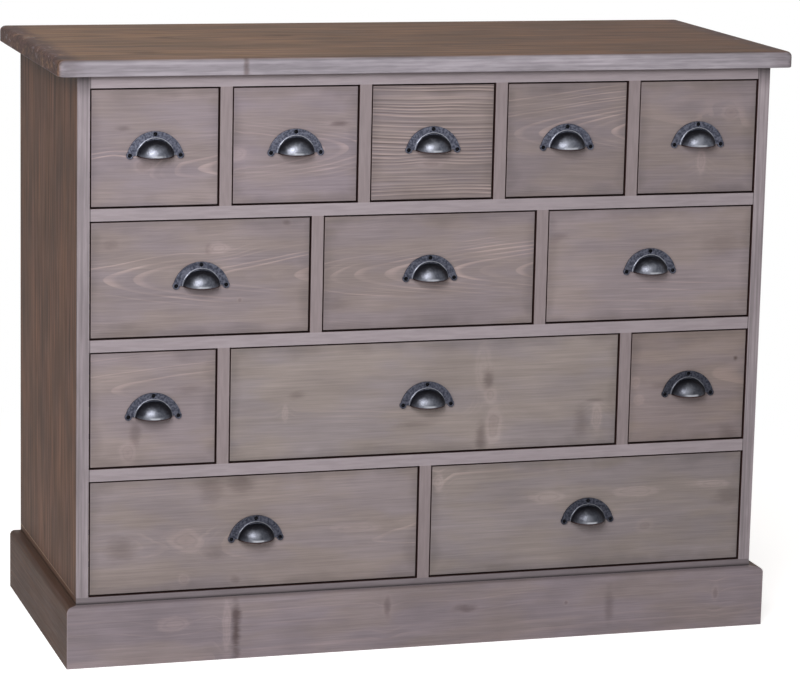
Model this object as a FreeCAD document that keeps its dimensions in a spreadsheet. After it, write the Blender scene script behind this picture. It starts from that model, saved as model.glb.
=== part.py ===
# A floor-standing chest of thirteen drawers: stained pine boards, iron cup pulls.
# Lengths are in millimetres. X runs to the right, Y from the front to the back, Z up.
# The origin is on the floor, under the middle of the box that the whole chest fills.
import FreeCAD, Part
import os
import re
import Sketcher

# Driving dimensions. Each size is written once, here, and everything else follows from it.
SIZES = {
    # carcass: two sides that stand on a bottom board, with shelves and dividers between them
    "carcass_width": 1182,
    "carcass_depth": 500,
    "side_thickness": 20,
    "bottom_thickness": 20,
    "shelf_thickness": 20,
    "divider_thickness": 20,
    "opening_height": 193.5,
    "rail_thickness": 20,
    "rail_depth": 80,
    "back_thickness": 6,
    "back_rebate": 10,
    # top board
    "top_thickness": 27,
    "top_side_overhang": 34,
    "top_front_overhang": 18,
    "top_back_overhang": 18,
    "top_corner_radius": 12,
    "top_edge_radius": 9,
    "top_underside_radius": 2,
    # plinth: mitred boards that lap the edges of the bottom board
    "plinth_height": 102,
    "plinth_thickness": 19,
    "plinth_lap": 8,
    "plinth_edge_radius": 8,
    "cleat_size": 20,
    "corner_block_leg": 45,
    "corner_block_lift": 6,
    # dowels in the carcass joints
    "dowel_diameter": 8,
    "dowel_clearance": 0.1,
    "dowel_in_face": 11,
    "dowel_in_end": 19,
    "dowel_inset": 50,
    # countersunk screws that hold the top and the back panel
    "screw_length": 35,
    "screw_diameter": 4,
    "screw_head_diameter": 8,
    "screw_head_height": 2.2,
    "screw_clearance": 0.1,
    # drawers
    "drawer_gap": 2.5,
    "front_recess": 2.5,
    "run_clearance": 0.3,
    "front_thickness": 20,
    "front_edge_radius": 1.5,
    "box_side_height": 160,
    "box_side_thickness": 12,
    "box_back_thickness": 12,
    "box_back_inset": 10,
    "box_back_housing": 4,
    "box_bottom_thickness": 5,
    "groove_height": 12,
    "groove_depth": 6,
    "groove_clearance": 0.2,
    "dovetail_lap": 7,
    "dovetail_pin": 9,
    "dovetail_slope": 2,
    "stop_width": 20,
    "stop_length": 31.2,
    "stop_height": 15,
    "stop_clearance": 0.3,
    # cup pull, measured from the line through its two ear screws
    "pull_drop": 12,
    "ear_spacing": 83,
    "ear_radius": 5.7,
    "crown_screw_height": 34,
    "plate_thickness": 3.5,
    "plate_radius": 47,
    "plate_centre_drop": 8.3,
    "plate_edge_radius": 1,
    "bead_radius": 31.6,
    "bead_centre_drop": 3.4,
    "bead_thickness": 2,
    "cup_half_width": 31.5,
    "cup_height": 25.5,
    "cup_projection": 26,
    "cup_wall": 2,
    "cup_lip_drop": 4,
    "pull_screw_length": 15,
    "pull_screw_diameter": 3.4,
    "pull_screw_head_diameter": 6.8,
    "pull_screw_head_height": 2,
    "pull_screw_recess": 0.6,
}

# The widths of the drawer openings in each row, from the top row down.
ROWS = (
    ("narrow",) * 5,
    ("medium",) * 3,
    ("narrow", "broad", "narrow"),
    ("wide",) * 2,
)
DIVIDER_NODES = ("dividers_top_row", "dividers_middle_rows",
                 "dividers_middle_rows", "divider_bottom_row")
SHELVES = ("shelf_upper", "shelf_middle", "shelf_lower")
# Dovetails at each front corner of a drawer.
TAILS = 3

# Lengths that follow from the driving ones.
DERIVED = {
    "inner_width": "carcass_width - 2 * side_thickness",
    "inner_depth": "carcass_depth - back_thickness",
    "bottom_underside": "plinth_height - plinth_lap",
    "bay_floor": "bottom_underside + bottom_thickness",
    "row_pitch": "opening_height + shelf_thickness",
    "rail_underside": f"bay_floor + {len(SHELVES)} * row_pitch + opening_height",
    "top_underside": "rail_underside + rail_thickness",
    "side_height": "top_underside - bay_floor",
    "narrow_opening": "(inner_width - 4 * divider_thickness) / 5",
    "medium_opening": "(inner_width - 2 * divider_thickness) / 3",
    "wide_opening": "(inner_width - divider_thickness) / 2",
    "broad_opening": "inner_width - 2 * narrow_opening - 2 * divider_thickness",
    "front_height": "opening_height - 2 * drawer_gap",
    "drawer_length": "inner_depth - front_recess - stop_length - stop_clearance",
    "box_drop": "drawer_gap - run_clearance",
    "groove_top": "groove_height + box_bottom_thickness + groove_clearance",
    "bottom_tongue": "groove_depth - groove_clearance",
    "tail_pitch": f"box_side_height / {TAILS}",
    "front_reach": "max(cup_projection - front_recess; top_front_overhang; plinth_thickness)",
    "back_reach": "carcass_depth + top_back_overhang",
    "carcass_front": "(front_reach - back_reach) / 2",
    "drawer_face": "carcass_front + front_recess",
}

document = FreeCAD.newDocument("chest")
sheet = document.addObject("Spreadsheet::Sheet", "Sizes")
nodes = []


def fill_sheet():
    """Writes every size to the sheet, each under its own name."""
    formulas = {name: "=" + text for name, text in DERIVED.items()}
    for row, (name, entry) in enumerate({**SIZES, **formulas}.items(), start=1):
        sheet.set(f"A{row}", name)
        sheet.set(f"B{row}", str(entry))
        sheet.setAlias(f"B{row}", name)
    document.recompute()


def formula(text):
    """Turns names of sizes into references to the sheet's cells."""
    return re.sub(r"[a-z]\w+", lambda name: "Sizes." + name.group(), text)


def bind(thing, setting, text):
    thing.setExpression(setting, formula(text))


def place(thing, x="0", y="0", z="0"):
    for axis, text in zip("xyz", (x, y, z)):
        bind(thing, "Placement.Base." + axis, text)
    return thing


def value(text):
    """The present value of a formula, for where a sketch starts and for code that picks edges."""
    return float(sheet.evalExpression(formula(text)))


# Solids of revolution start along +Z. These turn them.
TURNS = {
    "up": FreeCAD.Rotation(),
    "down": FreeCAD.Rotation(FreeCAD.Vector(1, 0, 0), 180),
    "right": FreeCAD.Rotation(FreeCAD.Vector(0, 1, 0), 90),
    "back": FreeCAD.Rotation(FreeCAD.Vector(1, 0, 0), -90),
    "front": FreeCAD.Rotation(FreeCAD.Vector(1, 0, 0), 90),
}


def box(name, length, width, height, **at):
    """A board with its lower left front corner at the given place."""
    board = document.addObject("Part::Box", name)
    bind(board, "Length", length)
    bind(board, "Width", width)
    bind(board, "Height", height)
    return place(board, **at)


def cylinder(name, radius, height, direction, **at):
    rod = document.addObject("Part::Cylinder", name)
    bind(rod, "Radius", radius)
    bind(rod, "Height", height)
    rod.Placement.Rotation = TURNS[direction]
    return place(rod, **at)


def cone(name, radius, end_radius, height, direction, **at):
    taper = document.addObject("Part::Cone", name)
    bind(taper, "Radius1", radius)
    bind(taper, "Radius2", end_radius)
    bind(taper, "Height", height)
    taper.Placement.Rotation = TURNS[direction]
    return place(taper, **at)


def ellipsoid(name, half_width, half_depth, half_height):
    ball = document.addObject("Part::Ellipsoid", name)
    bind(ball, "Radius2", half_width)
    bind(ball, "Radius3", half_depth)
    bind(ball, "Radius1", half_height)
    return ball


def group(name, pieces):
    """Separate solids kept together."""
    together = document.addObject("Part::Compound", name)
    together.Links = pieces
    return together


def repeat(name, piece, direction="up", **at):
    """One more of a piece that is already made, at a place of its own."""
    again = group(name, [piece])
    again.Placement.Rotation = TURNS[direction]
    return place(again, **at)


def fuse(name, pieces):
    joined = document.addObject("Part::MultiFuse", name)
    joined.Shapes = pieces
    return joined


def common(name, first, second):
    shared = document.addObject("Part::Common", name)
    shared.Base = first
    shared.Tool = second
    return shared


def cut(name, base, tools):
    """The base without the tools, none of which touches another."""
    rest = document.addObject("Part::Cut", name)
    rest.Base = base
    rest.Tool = group(name + "_tools", tools)
    return rest


def node(name, pieces, x="0", y="carcass_front", z="0"):
    """A finished sub-part, moved from the carcass's front plane to the chest's own origin."""
    part = group(name, pieces)
    part.Label = name
    nodes.append(place(part, x=x, y=y, z=z))


def sketch_on(body, plane, name):
    sketch = body.newObject("Sketcher::SketchObject", name)
    planes = {feature.Role: feature for feature in body.Origin.OriginFeatures}
    sketch.AttachmentSupport = [(planes[plane], "")]
    sketch.MapMode = "FlatFace"
    return sketch


def fix_point(sketch, curve, end, corner):
    """Ties one end of a curve to a corner given as two formulas."""
    for kind, text in zip(("DistanceX", "DistanceY"), corner):
        rule = Sketcher.Constraint(kind, -1, 1, curve, end, value(text))
        number = sketch.addConstraint(rule)
        bind(sketch, f"Constraints[{number}]", text)


def draw_outline(sketch, corners):
    """A closed outline of straight lines, its corners given as pairs of formulas."""
    points = [FreeCAD.Vector(value(x), value(y), 0) for x, y in corners]
    lines = [sketch.addGeometry(Part.LineSegment(a, b))
             for a, b in zip(points, points[1:] + points[:1])]
    for line, following in zip(lines, lines[1:] + lines[:1]):
        sketch.addConstraint(Sketcher.Constraint("Coincident", line, 2, following, 1))
    for line, corner in zip(lines, corners):
        fix_point(sketch, line, 1, corner)


def draw_circle(sketch, radius, x, y):
    centre = FreeCAD.Vector(value(x), value(y), 0)
    circle = sketch.addGeometry(Part.Circle(centre, FreeCAD.Vector(0, 0, 1), value(radius)))
    number = sketch.addConstraint(Sketcher.Constraint("Radius", circle, value(radius)))
    bind(sketch, f"Constraints[{number}]", radius)
    fix_point(sketch, circle, 3, (x, y))


def pad(name, plane, corners, length, reverse=False, both_ways=False):
    """A board cut to an outline that lies on one of its body's own planes."""
    body = document.addObject("PartDesign::Body", name)
    sketch = sketch_on(body, plane, name + "_outline")
    draw_outline(sketch, corners)
    board = body.newObject("PartDesign::Pad", name + "_board")
    board.Profile = sketch
    board.Reversed = reverse
    board.Midplane = both_ways
    bind(board, "Length", length)
    document.recompute()
    return body


def pocket(body, sketch, length, reverse=False, both_ways=False):
    """Cuts a sketch out of a body, and makes sure that it took something away."""
    before = body.Shape.Volume
    hollow = body.newObject("PartDesign::Pocket", sketch.Name + "_cut")
    hollow.Profile = sketch
    hollow.Reversed = reverse
    hollow.Midplane = both_ways
    bind(hollow, "Length", length)
    document.recompute()
    if not body.Shape.Volume < before:
        raise ValueError(f"{hollow.Name} cuts nothing")
    return hollow


def round_off(body, name, radius, kind, chosen):
    """Rounds the edges, or the edges of the faces, whose bounding box is chosen."""
    base = body.Tip
    shapes = base.Shape.Edges if kind == "Edge" else base.Shape.Faces
    names = [f"{kind}{number}" for number, shape in enumerate(shapes, start=1)
             if chosen(shape.BoundBox)]
    rounding = body.newObject("PartDesign::Fillet", name)
    rounding.Base = (base, names)
    bind(rounding, "Radius", radius)
    document.recompute()


def near(a, b):
    return abs(a - b) < 0.001


def openings():
    """Each drawer opening: its row, the kind of its width, and where its left edge and floor are."""
    for row, kinds in enumerate(ROWS):
        left = "-inner_width / 2"
        floor = f"bay_floor + {len(ROWS) - 1 - row} * row_pitch"
        for kind in kinds:
            yield row, kind, left, floor
            left += f" + {kind}_opening + divider_thickness"


def dividers():
    """Each divider: its row, its left face and its foot."""
    spots = list(openings())
    for (row, kind, left, floor), following in zip(spots, spots[1:]):
        if following[0] == row:
            yield row, f"{left} + {kind}_opening", floor


def shelf_underside(row):
    """The height of the shelf that lies under a row of drawers."""
    return f"bay_floor + {len(ROWS) - 1 - row} * row_pitch - shelf_thickness"


# Every dowel and screw, and the holes that each board needs for them.
dowels = []
screws = []
holes = {}


def drill(hole, boards):
    for board in boards:
        holes.setdefault(board, []).append(hole)


def add_dowel(boards, direction, **at):
    """A beech dowel that starts at the given place, in a hole that is a little wider."""
    number = len(dowels)
    length = "dowel_in_face + dowel_in_end"
    dowels.append(cylinder(f"dowel_{number}", "dowel_diameter / 2", length, direction, **at))
    radius = "dowel_diameter / 2 + dowel_clearance"
    drill(cylinder(f"dowel_hole_{number}", radius, length, direction, **at), boards)


def make_screw(name, prefix, clearance):
    """A countersunk screw with the top of its head at z = 0, or the hole that takes it."""
    shank = f"{prefix}_diameter / 2 + {clearance}"
    head = f"{prefix}_head_diameter / 2 + {clearance}"
    depth = f"{prefix}_head_height"
    countersink = cone(name + "_head", head, shank, depth, "up")
    rod = cylinder(name + "_shank", shank, f"{prefix}_length - {depth}", "up", z=depth)
    return fuse(name, [countersink, rod])


def add_screw(boards, direction, **at):
    number = len(screws)
    screws.append(repeat(f"screw_{number}", wood_screw, direction, **at))
    drill(repeat(f"screw_hole_{number}", wood_screw_hole, direction, **at), boards)


def dowel_shelf(board, middle, depths):
    """Dowels both ends of a horizontal board to the two sides."""
    for depth in depths:
        add_dowel([board, "side_left"], "right", y=depth, z=middle,
                  x="-inner_width / 2 - dowel_in_face")
        add_dowel([board, "side_right"], "right", y=depth, z=middle,
                  x="inner_width / 2 - dowel_in_end")


def dowel_all_joints():
    ends = ("dowel_inset", "inner_depth - dowel_inset")
    three = (ends[0], "inner_depth / 2", ends[1])
    for row, shelf in enumerate(SHELVES):
        dowel_shelf(shelf, shelf_underside(row) + " + shelf_thickness / 2", three)
    rail_middle = "rail_underside + rail_thickness / 2"
    dowel_shelf("top_rail_front", rail_middle, ("rail_depth / 4", "rail_depth * 3 / 4"))
    dowel_shelf("top_rail_back", rail_middle,
                ("inner_depth - rail_depth * 3 / 4", "inner_depth - rail_depth / 4"))
    for board, side in (("side_left", "-1"), ("side_right", "1")):
        for depth in three:
            add_dowel([board, "bottom_panel"], "up", y=depth, z="bay_floor - dowel_in_face",
                      x=f"{side} * (inner_width + side_thickness) / 2")
    for depth, rail in zip(ends, ("top_rail_front", "top_rail_back")):
        boards = (rail, *SHELVES, "bottom_panel")
        for row, left, floor in dividers():
            middle = left + " + divider_thickness / 2"
            add_dowel([DIVIDER_NODES[row], boards[row + 1]], "up", x=middle, y=depth,
                      z=floor + " - dowel_in_face")
            add_dowel([DIVIDER_NODES[row], boards[row]], "up", x=middle, y=depth,
                      z=floor + " + opening_height - dowel_in_end")


def screw_down_top_and_back():
    rails = (("top_rail_front", "rail_depth / 2"),
             ("top_rail_back", "inner_depth - rail_depth / 2"))
    middles = [left + " + narrow_opening / 2" for row, kind, left, floor in openings()
               if row == 0]
    backs = [("top_rail_back", "rail_underside + rail_thickness / 2")]
    backs += [(shelf, shelf_underside(row) + " + shelf_thickness / 2")
              for row, shelf in enumerate(SHELVES)]
    for x in middles:
        for rail, y in rails:
            add_screw([rail, "top_board"], "up", x=x, y=y, z="rail_underside")
        for board, z in backs:
            add_screw([board, "back_panel"], "front", x=x, y="carcass_depth", z=z)
    for board, side in (("side_left", "-1"), ("side_right", "1")):
        for row in range(len(ROWS)):
            add_screw([board, "back_panel"], "front", y="carcass_depth",
                      x=f"{side} * (inner_width + back_rebate) / 2",
                      z=shelf_underside(row) + " + shelf_thickness + opening_height / 2")


def finish_board(name, board):
    """Drills a board for its dowels and screws, and makes it a node."""
    node(name, [cut(name + "_drilled", board, holes[name])])


def make_top():
    """The glued-up top, with rounded corners, a round upper edge and an eased lower edge."""
    half = "(carcass_width / 2 + top_side_overhang)"
    front = "-top_front_overhang"
    back = "back_reach"
    body = pad("top_shape", "XY_Plane",
               (("-" + half, front), (half, front), (half, back), ("-" + half, back)),
               "top_thickness")
    thickness = value("top_thickness")
    round_off(body, "top_corners", "top_corner_radius", "Edge",
              lambda limits: near(limits.ZLength, thickness))
    round_off(body, "top_upper_edge", "top_edge_radius", "Face",
              lambda limits: near(limits.ZMin, thickness))
    round_off(body, "top_lower_edge", "top_underside_radius", "Face",
              lambda limits: near(limits.ZMax, 0))
    finish_board("top_board", place(body, z="top_underside"))


def make_side(name, side):
    """An upright side with a rebate at the back for the back panel."""
    outer = f"{side} * carcass_width / 2"
    inner = f"{side} * inner_width / 2"
    ledge = f"{side} * (inner_width / 2 + back_rebate)"
    body = pad(name + "_shape", "XY_Plane",
               ((outer, "0"), (inner, "0"), (inner, "inner_depth"), (ledge, "inner_depth"),
                (ledge, "carcass_depth"), (outer, "carcass_depth")), "side_height")
    finish_board(name, place(body, z="bay_floor"))


def make_flat_boards():
    """The bottom, the shelves, the two top rails and the back panel."""
    left = "-inner_width / 2"
    bottom = box("bottom_shape", "carcass_width", "carcass_depth", "bottom_thickness",
                 x="-carcass_width / 2", z="bottom_underside")
    finish_board("bottom_panel", bottom)
    for row, shelf in enumerate(SHELVES):
        board = box(shelf + "_shape", "inner_width", "inner_depth", "shelf_thickness",
                    x=left, z=shelf_underside(row))
        finish_board(shelf, board)
    for rail, y in (("top_rail_front", "0"), ("top_rail_back", "inner_depth - rail_depth")):
        board = box(rail + "_shape", "inner_width", "rail_depth", "rail_thickness",
                    x=left, y=y, z="rail_underside")
        finish_board(rail, board)
    back = box("back_shape", "inner_width + 2 * back_rebate", "back_thickness", "side_height",
               x=left + " - back_rebate", y="inner_depth", z="bay_floor")
    finish_board("back_panel", back)


def make_dividers():
    """The uprights between the drawers, each row's between its two shelves."""
    uprights = {}
    for number, (row, left, floor) in enumerate(dividers()):
        upright = box(f"divider_{number}", "divider_thickness", "inner_depth", "opening_height",
                      x=left, z=floor)
        uprights.setdefault(DIVIDER_NODES[row], []).append(upright)
    for name, boards in uprights.items():
        finish_board(name, group(name + "_shape", boards))


def make_plinth():
    """Three mitred boards with a rounded upper edge, and a plain one set in between at the back."""
    half = "carcass_width / 2"
    outside = f"({half} + plinth_thickness)"
    front = pad("plinth_front_shape", "XY_Plane",
                ((f"-{outside}", "-plinth_thickness"), (outside, "-plinth_thickness"),
                 (half, "0"), (f"-{half}", "0")), "plinth_height")
    top = value("plinth_height")
    face = value("-plinth_thickness")
    round_off(front, "plinth_front_edge", "plinth_edge_radius", "Edge",
              lambda limits: near(limits.ZMin, top) and near(limits.YMax, face))
    node("plinth_front", [front])
    for name, side in (("plinth_left", "-1"), ("plinth_right", "1")):
        inner = f"{side} * {half}"
        outer = f"{side} * {outside}"
        board = pad(name + "_shape", "XY_Plane",
                    ((inner, "0"), (outer, "-plinth_thickness"),
                     (outer, "carcass_depth"), (inner, "carcass_depth")), "plinth_height")
        edge = value(outer)
        round_off(board, name + "_edge", "plinth_edge_radius", "Edge",
                  lambda limits: near(limits.ZMin, top) and near(limits.XMin, edge)
                  and near(limits.XMax, edge))
        node(name, [board])
    back = box("plinth_back_shape", "carcass_width", "plinth_thickness", "bottom_underside",
               x=f"-{half}", y="carcass_depth - plinth_thickness")
    node("plinth_back", [back])


def make_plinth_blocks():
    """Cleats under the edges of the bottom board, and glue blocks in the plinth's corners."""
    cleat_floor = "bottom_underside - cleat_size"
    back_face = "carcass_depth - plinth_thickness"
    blocks = [box("cleat_front", "carcass_width", "cleat_size", "cleat_size",
                  x="-carcass_width / 2", z=cleat_floor)]
    for name, x in (("left", "-carcass_width / 2"), ("right", "carcass_width / 2 - cleat_size")):
        blocks.append(box("cleat_" + name, "cleat_size", back_face + " - cleat_size",
                          "cleat_size", x=x, y="cleat_size", z=cleat_floor))
    for corner, x_sign, y, y_sign in (("front_left", "-1", "0", "+"), ("front_right", "1", "0", "+"),
                                      ("back_left", "-1", back_face, "-"),
                                      ("back_right", "1", back_face, "-")):
        outer = f"{x_sign} * carcass_width / 2"
        inner = f"{x_sign} * (carcass_width / 2 - corner_block_leg)"
        block = pad("block_" + corner, "XY_Plane",
                    ((outer, y), (inner, y), (outer, f"{y} {y_sign} corner_block_leg")),
                    cleat_floor + " - corner_block_lift")
        blocks.append(place(block, z="corner_block_lift"))
    node("plinth_blocks", blocks)


def make_stops():
    """Two small blocks behind each drawer, glued to its floor and to the upright beside it."""
    stops = []
    for row, kind, left, floor in openings():
        for x in (left, f"{left} + {kind}_opening - stop_width"):
            stops.append(box(f"stop_{len(stops)}", "stop_width", "stop_length", "stop_height",
                             x=x, y="inner_depth - stop_length", z=floor))
    node("drawer_stops", stops)


def tail_outline(number, lift):
    """One dovetail in depth and height: wide at its tip, narrower at its root."""
    low = f"{lift} + {number} * tail_pitch + dovetail_pin / 2"
    high = f"{lift} + {number + 1} * tail_pitch - dovetail_pin / 2"
    return (("front_thickness", f"{low} + dovetail_slope"), ("dovetail_lap", low),
            ("dovetail_lap", high), ("front_thickness", f"{high} - dovetail_slope"))


def block_outline(low, high, floor, ceiling):
    return ((low, floor), (high, floor), (high, ceiling), (low, ceiling))


def sketch_across(body, name, offset, outlines):
    """Outlines in depth and height, on a plane that stands at the given x."""
    sketch = sketch_on(body, "YZ_Plane", name)
    bind(sketch, "AttachmentOffset.Base.z", offset)
    for outline in outlines:
        draw_outline(sketch, outline)
    return sketch


def make_box_side():
    """A left drawer side: dovetailed to the front, grooved for the bottom, housed for the back."""
    tails = [corner for number in range(TAILS) for corner in tail_outline(number, "0")]
    body = pad("box_side", "YZ_Plane",
               (("front_thickness", "0"), *tails, ("front_thickness", "box_side_height"),
                ("drawer_length", "box_side_height"), ("drawer_length", "0")),
               "box_side_thickness")
    groove = block_outline("dovetail_lap", "drawer_length", "groove_height", "groove_top")
    sketch = sketch_across(body, "side_groove", "box_side_thickness - groove_depth", [groove])
    pocket(body, sketch, "groove_depth", reverse=True)
    rear = "drawer_length - box_back_inset"
    housing = block_outline(rear + " - box_back_thickness", rear, "groove_top", "box_side_height")
    sketch = sketch_across(body, "side_housing", "box_side_thickness - box_back_housing",
                           [housing])
    pocket(body, sketch, "box_back_housing", reverse=True)
    return body


def make_front(kind, width):
    """A drawer front: its face eased all round, socketed for the sides, drilled for the pull."""
    half = f"({width}) / 2"
    body = pad(f"{kind}_front", "XZ_Plane",
               block_outline("-" + half, half, "0", "front_height"),
               "front_thickness", reverse=True)
    round_off(body, f"{kind}_front_edges", "front_edge_radius", "Face",
              lambda limits: near(limits.YMin, 0) and near(limits.YMax, 0))
    groove = block_outline("front_thickness - groove_depth", "front_thickness",
                           "groove_height - box_drop", "groove_top - box_drop")
    sketch = sketch_across(body, f"{kind}_front_groove", "0", [groove])
    pocket(body, sketch, f"{width} - 2 * box_side_thickness", both_ways=True)
    sockets = [tail_outline(number, "-box_drop") for number in range(TAILS)]
    for end, offset, inward in (("left", "-" + half, True), ("right", half, False)):
        sketch = sketch_across(body, f"{kind}_front_sockets_{end}", offset, sockets)
        pocket(body, sketch, "box_side_thickness", reverse=inward)
    pilots = sketch_on(body, "XZ_Plane", f"{kind}_front_pilots")
    ears = "front_height / 2 - pull_drop"
    for x, z in (("-ear_spacing / 2", ears), ("ear_spacing / 2", ears),
                 ("0", ears + " + crown_screw_height")):
        draw_circle(pilots, "pull_screw_diameter / 2 + screw_clearance", x, z)
    reach = "pull_screw_length + pull_screw_recess - plate_thickness + screw_clearance"
    pocket(body, pilots, reach)
    return body


def make_box_boards(kind, width):
    """The back and the plywood bottom of a drawer."""
    back = box(f"{kind}_box_back", f"{width} - 2 * box_side_thickness + 2 * box_back_housing",
               "box_back_thickness", "box_side_height - groove_top",
               x=f"-({width}) / 2 + box_side_thickness - box_back_housing",
               y="drawer_length - box_back_inset - box_back_thickness", z="groove_top")
    tongue = "front_thickness - bottom_tongue"
    bottom = box(f"{kind}_box_bottom", f"{width} - 2 * box_side_thickness + 2 * bottom_tongue",
                 f"drawer_length - box_back_inset - ({tongue})", "box_bottom_thickness",
                 x=f"-({width}) / 2 + box_side_thickness - bottom_tongue",
                 y=tongue, z="groove_height")
    return [back, bottom]


def make_backplate():
    """The flat arched plate of a pull, with a round ear at each foot and its front edge eased."""
    disc = cylinder("plate_disc", "plate_radius", "plate_thickness", "front",
                    z="-plate_centre_drop")
    upper_half = box("plate_upper_half", "2 * plate_radius", "plate_thickness", "plate_radius",
                     x="-plate_radius", y="-plate_thickness")
    ears = [cylinder(f"ear_{name}", "ear_radius", "plate_thickness", "front",
                     x=f"{side} * ear_spacing / 2") for name, side in (("left", -1), ("right", 1))]
    flat = fuse("plate_flat", [common("plate_arch", disc, upper_half), *ears])
    document.recompute()
    face = value("-plate_thickness")
    radius = value("plate_edge_radius")
    rounding = document.addObject("Part::Fillet", "plate")
    rounding.Base = flat
    rounding.Edges = [(number, radius, radius)
                      for number, edge in enumerate(flat.Shape.Edges, start=1)
                      if near(edge.BoundBox.YMax, face)]
    return rounding


def make_cup():
    """The cast cup pull: plate, bead and hollow quarter dome in one piece, with three screw holes."""
    above = box("bead_upper_half", "2 * plate_radius", "plate_thickness", "plate_radius",
                x="-plate_radius", y="-2 * plate_thickness")
    ring = document.addObject("Part::Torus", "bead_ring")
    bind(ring, "Radius1", "bead_radius")
    bind(ring, "Radius2", "bead_thickness / 2")
    ring.Placement.Rotation = TURNS["front"]
    place(ring, y="-plate_thickness", z="-bead_centre_drop")
    bead = common("bead", ring, above)
    lip = "-2 * cup_projection"
    hood = pad("cup_hood", "YZ_Plane",
               (("0", "0"), (lip, "-2 * cup_lip_drop"), (lip, "cup_height"), ("0", "cup_height")),
               "2 * cup_half_width", both_ways=True)
    dome = ellipsoid("dome_outside", "cup_half_width", "cup_projection", "cup_height")
    hollow = ellipsoid("dome_hollow", "cup_half_width - cup_wall",
                       "cup_projection - cup_wall", "cup_height - cup_wall")
    body = fuse("cup_solid", [make_backplate(), bead, common("dome", dome, hood)])
    return cut("cup", body, [hollow, *pull_fixings("cup_hole", pull_screw_hole)])


def pull_fixings(name, piece):
    """The pull's three screws, or the three holes that take them."""
    face = "pull_screw_recess - plate_thickness"
    return [repeat(f"{name}_left", piece, "back", x="-ear_spacing / 2", y=face),
            repeat(f"{name}_right", piece, "back", x="ear_spacing / 2", y=face),
            repeat(f"{name}_crown", piece, "back", y=face, z="crown_screw_height")]


def make_drawers():
    """Every drawer, set back a little: its front, its box of four boards, and its screwed-on pull."""
    left_side = make_box_side()
    right_side = document.addObject("Part::Mirroring", "box_side_mirrored")
    right_side.Source = left_side
    right_side.Normal = FreeCAD.Vector(1, 0, 0)
    pull = [make_cup(), *pull_fixings("pull_screw", pull_screw)]
    fronts = {}
    boxes = {}
    for kind in ("narrow", "medium", "broad", "wide"):
        width = f"{kind}_opening - 2 * drawer_gap"
        fronts[kind] = [make_front(kind, width)]
        boxes[kind] = [repeat(f"{kind}_box_left", left_side, x=f"-({width}) / 2"),
                       repeat(f"{kind}_box_right", right_side, x=f"({width}) / 2"),
                       *make_box_boards(kind, width)]
    for number, (row, kind, left, floor) in enumerate(openings(), start=1):
        name = f"drawer_{number:02}"
        middle = f"{left} + {kind}_opening / 2"
        for suffix, pieces, lift in (
                ("_front", fronts[kind], "drawer_gap"),
                ("_box", boxes[kind], "run_clearance"),
                ("_pull", pull, "opening_height / 2 - pull_drop")):
            node(name + suffix, pieces, x=middle, y="drawer_face", z=f"{floor} + {lift}")


def check_and_export():
    """Stops at anything that failed to build, then writes each node to its own file."""
    document.recompute()
    for thing in document.Objects:
        if "Invalid" in thing.State or "Error" in thing.State:
            raise ValueError(f"{thing.Name} failed: {thing.State}")
    os.makedirs("parts", exist_ok=True)
    for part in nodes:
        shape = part.Shape
        if shape.isNull() or not shape.isValid():
            raise ValueError(f"{part.Label} has no valid shape")
        print(f"{part.Label}: {len(shape.Solids)} solids, {shape.Volume / 1000:.1f} cubic cm")
    for part in nodes:
        part.Shape.exportStep(f"parts/{part.Label}.step")


fill_sheet()
wood_screw = make_screw("wood_screw", "screw", "0")
wood_screw_hole = make_screw("wood_screw_hole", "screw", "screw_clearance")
pull_screw = make_screw("small_screw", "pull_screw", "0")
pull_screw_hole = fuse("pull_hole", [
    make_screw("small_screw_hole", "pull_screw", "screw_clearance"),
    cylinder("pull_screw_mouth", "pull_screw_head_diameter / 2 + screw_clearance",
             "plate_thickness", "down")])
dowel_all_joints()
screw_down_top_and_back()
make_top()
make_side("side_left", "-1")
make_side("side_right", "1")
make_flat_boards()
make_dividers()
make_plinth()
make_plinth_blocks()
make_stops()
node("carcass_dowels", dowels)
node("carcass_screws", screws)
make_drawers()
check_and_export()
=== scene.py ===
# A floor-standing chest of thirteen drawers in stained pine, with cast iron cup pulls.
# Lengths are in metres in the chest's own frame: X to the right, Y to the back, Z up.
import bpy
from mathutils import Matrix, Vector


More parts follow.
